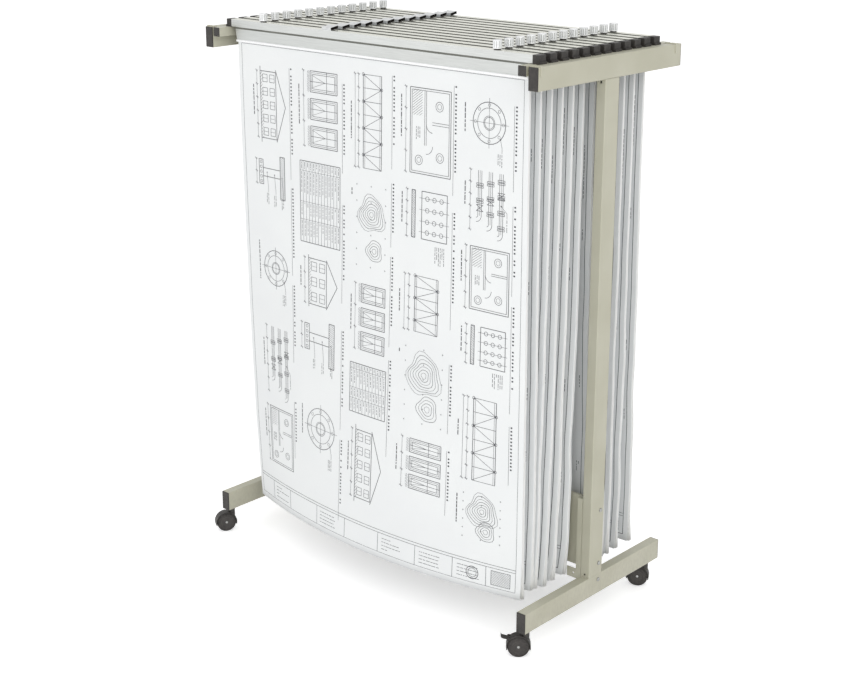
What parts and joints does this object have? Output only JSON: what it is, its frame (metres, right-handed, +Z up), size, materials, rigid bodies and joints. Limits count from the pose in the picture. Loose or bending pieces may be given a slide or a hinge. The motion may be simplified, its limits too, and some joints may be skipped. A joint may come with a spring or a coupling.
{
  "type": "mobile plan hanging rack",
  "caption": "Mobile steel rack on swivel casters: large drawings hang in packs from aluminium clamps whose ends rest across two side rails.",
  "frame": {"origin": "on the floor, midway between the two posts", "axes": "+X to the right and +Y to the rear as seen from the front sheet, +Z up"},
  "size_m": [1.0753, 0.5601, 1.3917],
  "materials": {
    "frame_paint": "satin",
    "black_plastic": "satin",
    "wheel_plastic": "satin",
    "plated_steel": "satin",
    "clamp_aluminium": "satin",
    "knob_metal": "polished",
    "drawing_paper": "matte"
  },
  "bodies": {
    "frame": {"left_rail": "frame_paint", "right_rail": "frame_paint", "left_ledge_tube": "frame_paint", "right_ledge_tube": "frame_paint", "left_post": "frame_paint", "right_post": "frame_paint", "left_foot": "frame_paint", "right_foot": "frame_paint", "rail_end_caps": "black_plastic", "foot_end_caps": "black_plastic", "ledge_end_plugs": "black_plastic", "clamp_stops": "frame_paint", "stretcher": "frame_paint", "stretcher_brackets": "frame_paint", "frame_bolts": "plated_steel", "caster_stems": "plated_steel"},
    "caster_front_left": {"caster_front_left_housing": "black_plastic", "caster_front_left_axle": "plated_steel"},
    "caster_front_left_wheel_pair": {"caster_front_left_wheels": "wheel_plastic"},
    "caster_front_right": {"caster_front_right_housing": "black_plastic", "caster_front_right_axle": "plated_steel"},
    "caster_front_right_wheel_pair": {"caster_front_right_wheels": "wheel_plastic"},
    "caster_front_right_brake": {"caster_front_right_brake_lever": "black_plastic"},
    "caster_rear_left": {"caster_rear_left_housing": "black_plastic", "caster_rear_left_axle": "plated_steel"},
    "caster_rear_left_wheel_pair": {"caster_rear_left_wheels": "wheel_plastic"},
    "caster_rear_left_brake": {"caster_rear_left_brake_lever": "black_plastic"},
    "caster_rear_right": {"caster_rear_right_housing": "black_plastic", "caster_rear_right_axle": "plated_steel"},
    "caster_rear_right_wheel_pair": {"caster_rear_right_wheels": "wheel_plastic"},
    "clamp_01": {"clamp_01_rear_bar": "clamp_aluminium", "clamp_01_end_caps": "black_plastic", "clamp_01_index_holder": "clamp_aluminium", "clamp_01_sheets": "drawing_paper"},
    "clamp_01_jaw": {"clamp_01_front_jaw": "clamp_aluminium"},
    "clamp_01_left_screw": {"clamp_01_left_knob": "knob_metal"},
    "clamp_01_right_screw": {"clamp_01_right_knob": "knob_metal"},
    "clamp_02": {"clamp_02_bars": "clamp_aluminium", "clamp_02_sheets": "drawing_paper"},
    "clamp_03": {"clamp_03_bars": "clamp_aluminium", "clamp_03_sheets": "drawing_paper"},
    "clamp_04": {"clamp_04_bars": "clamp_aluminium", "clamp_04_sheets": "drawing_paper"},
    "clamp_05": {"clamp_05_bars": "clamp_aluminium", "clamp_05_sheets": "drawing_paper"},
    "clamp_06": {"clamp_06_bars": "clamp_aluminium", "clamp_06_sheets": "drawing_paper"},
    "clamp_07": {"clamp_07_bars": "clamp_aluminium", "clamp_07_sheets": "drawing_paper"},
    "clamp_08": {"clamp_08_bars": "clamp_aluminium", "clamp_08_sheets": "drawing_paper"},
    "clamp_09": {"clamp_09_bars": "clamp_aluminium", "clamp_09_sheets": "drawing_paper"},
    "clamp_10": {"clamp_10_bars": "clamp_aluminium", "clamp_10_sheets": "drawing_paper"},
    "clamp_11": {"clamp_11_bars": "clamp_aluminium", "clamp_11_sheets": "drawing_paper"},
    "clamp_12": {"clamp_12_bars": "clamp_aluminium", "clamp_12_sheets": "drawing_paper"}
  },
  "joints": [
    {"name": "front_left_swivel", "type": "hinge", "parent": "frame", "child": "caster_front_left", "pos_m": [-0.5073, -0.248, 0.0627], "axis": [0, 0, 1], "continuous": true},
    {"name": "front_left_roll", "type": "hinge", "parent": "caster_front_left", "child": "caster_front_left_wheel_pair", "pos_m": [-0.5153, -0.26186, 0.0254], "axis": [0.866, -0.5, 0], "continuous": true},
    {"name": "front_right_swivel", "type": "hinge", "parent": "frame", "child": "caster_front_right", "pos_m": [0.5073, -0.248, 0.0627], "axis": [0, 0, 1], "continuous": true},
    {"name": "front_right_roll", "type": "hinge", "parent": "caster_front_right", "child": "caster_front_right_wheel_pair", "pos_m": [0.49504, -0.25828, 0.0254], "axis": [0.6428, -0.766, 0], "continuous": true},
    {"name": "front_right_brake_press", "type": "hinge", "parent": "caster_front_right", "child": "caster_front_right_brake", "pos_m": [0.47803, -0.27256, 0.04404], "axis": [0.6428, -0.766, 0], "range_deg": [0, 14]},
    {"name": "rear_left_swivel", "type": "hinge", "parent": "frame", "child": "caster_rear_left", "pos_m": [-0.5073, 0.228, 0.0627], "axis": [0, 0, 1], "continuous": true},
    {"name": "rear_left_roll", "type": "hinge", "parent": "caster_rear_left", "child": "caster_rear_left_wheel_pair", "pos_m": [-0.51801, 0.21611, 0.0254], "axis": [0.7431, -0.6691, 0], "continuous": true},
    {"name": "rear_left_brake_press", "type": "hinge", "parent": "caster_rear_left", "child": "caster_rear_left_brake", "pos_m": [-0.53287, 0.1996, 0.04404], "axis": [0.7431, -0.6691, 0], "range_deg": [0, 14]},
    {"name": "rear_right_swivel", "type": "hinge", "parent": "frame", "child": "caster_rear_right", "pos_m": [0.5073, 0.228, 0.0627], "axis": [0, 0, 1], "continuous": true},
    {"name": "rear_right_roll", "type": "hinge", "parent": "caster_rear_right", "child": "caster_rear_right_wheel_pair", "pos_m": [0.49344, 0.22, 0.0254], "axis": [0.5, -0.866, 0], "continuous": true},
    {"name": "clamp_01_lift", "type": "slide", "parent": "frame", "child": "clamp_01", "axis": [0, 0, 1], "range_m": [0, 0.08]},
    {"name": "clamp_01_left_screw_turn", "type": "hinge", "parent": "clamp_01", "child": "clamp_01_left_screw", "pos_m": [-0.358, -0.218, 1.371], "axis": [0, 0, 1], "range_deg": [0, 360]},
    {"name": "clamp_01_right_screw_turn", "type": "hinge", "parent": "clamp_01", "child": "clamp_01_right_screw", "pos_m": [0.374, -0.218, 1.371], "axis": [0, 0, 1], "range_deg": [0, 360]},
    {"name": "clamp_01_jaw_open", "type": "hinge", "parent": "clamp_01", "child": "clamp_01_jaw", "pos_m": [0.008, -0.22615, 1.35625], "axis": [-1, 0, 0], "range_deg": [0, 5]},
    {"name": "clamp_02_lift", "type": "slide", "parent": "frame", "child": "clamp_02", "axis": [0, 0, 1], "range_m": [0, 0.08]},
    {"name": "clamp_03_lift", "type": "slide", "parent": "frame", "child": "clamp_03", "axis": [0, 0, 1], "range_m": [0, 0.08]},
    {"name": "clamp_04_lift", "type": "slide", "parent": "frame", "child": "clamp_04", "axis": [0, 0, 1], "range_m": [0, 0.08]},
    {"name": "clamp_05_lift", "type": "slide", "parent": "frame", "child": "clamp_05", "axis": [0, 0, 1], "range_m": [0, 0.08]},
    {"name": "clamp_06_lift", "type": "slide", "parent": "frame", "child": "clamp_06", "axis": [0, 0, 1], "range_m": [0, 0.08]},
    {"name": "clamp_07_lift", "type": "slide", "parent": "frame", "child": "clamp_07", "axis": [0, 0, 1], "range_m": [0, 0.08]},
    {"name": "clamp_08_lift", "type": "slide", "parent": "frame", "child": "clamp_08", "axis": [0, 0, 1], "range_m": [0, 0.08]},
    {"name": "clamp_09_lift", "type": "slide", "parent": "frame", "child": "clamp_09", "axis": [0, 0, 1], "range_m": [0, 0.08]},
    {"name": "clamp_10_lift", "type": "slide", "parent": "frame", "child": "clamp_10", "axis": [0, 0, 1], "range_m": [0, 0.08]},
    {"name": "clamp_11_lift", "type": "slide", "parent": "frame", "child": "clamp_11", "axis": [0, 0, 1], "range_m": [0, 0.08]},
    {"name": "clamp_12_lift", "type": "slide", "parent": "frame", "child": "clamp_12", "axis": [0, 0, 1], "range_m": [0, 0.08]}
  ],
  "couplings": [
    {"joint": "clamp_01_jaw_open", "follows": "clamp_01_left_screw_turn", "ratio": 0.013889},
    {"joint": "clamp_01_right_screw_turn", "follows": "clamp_01_left_screw_turn", "ratio": 1}
  ]
}
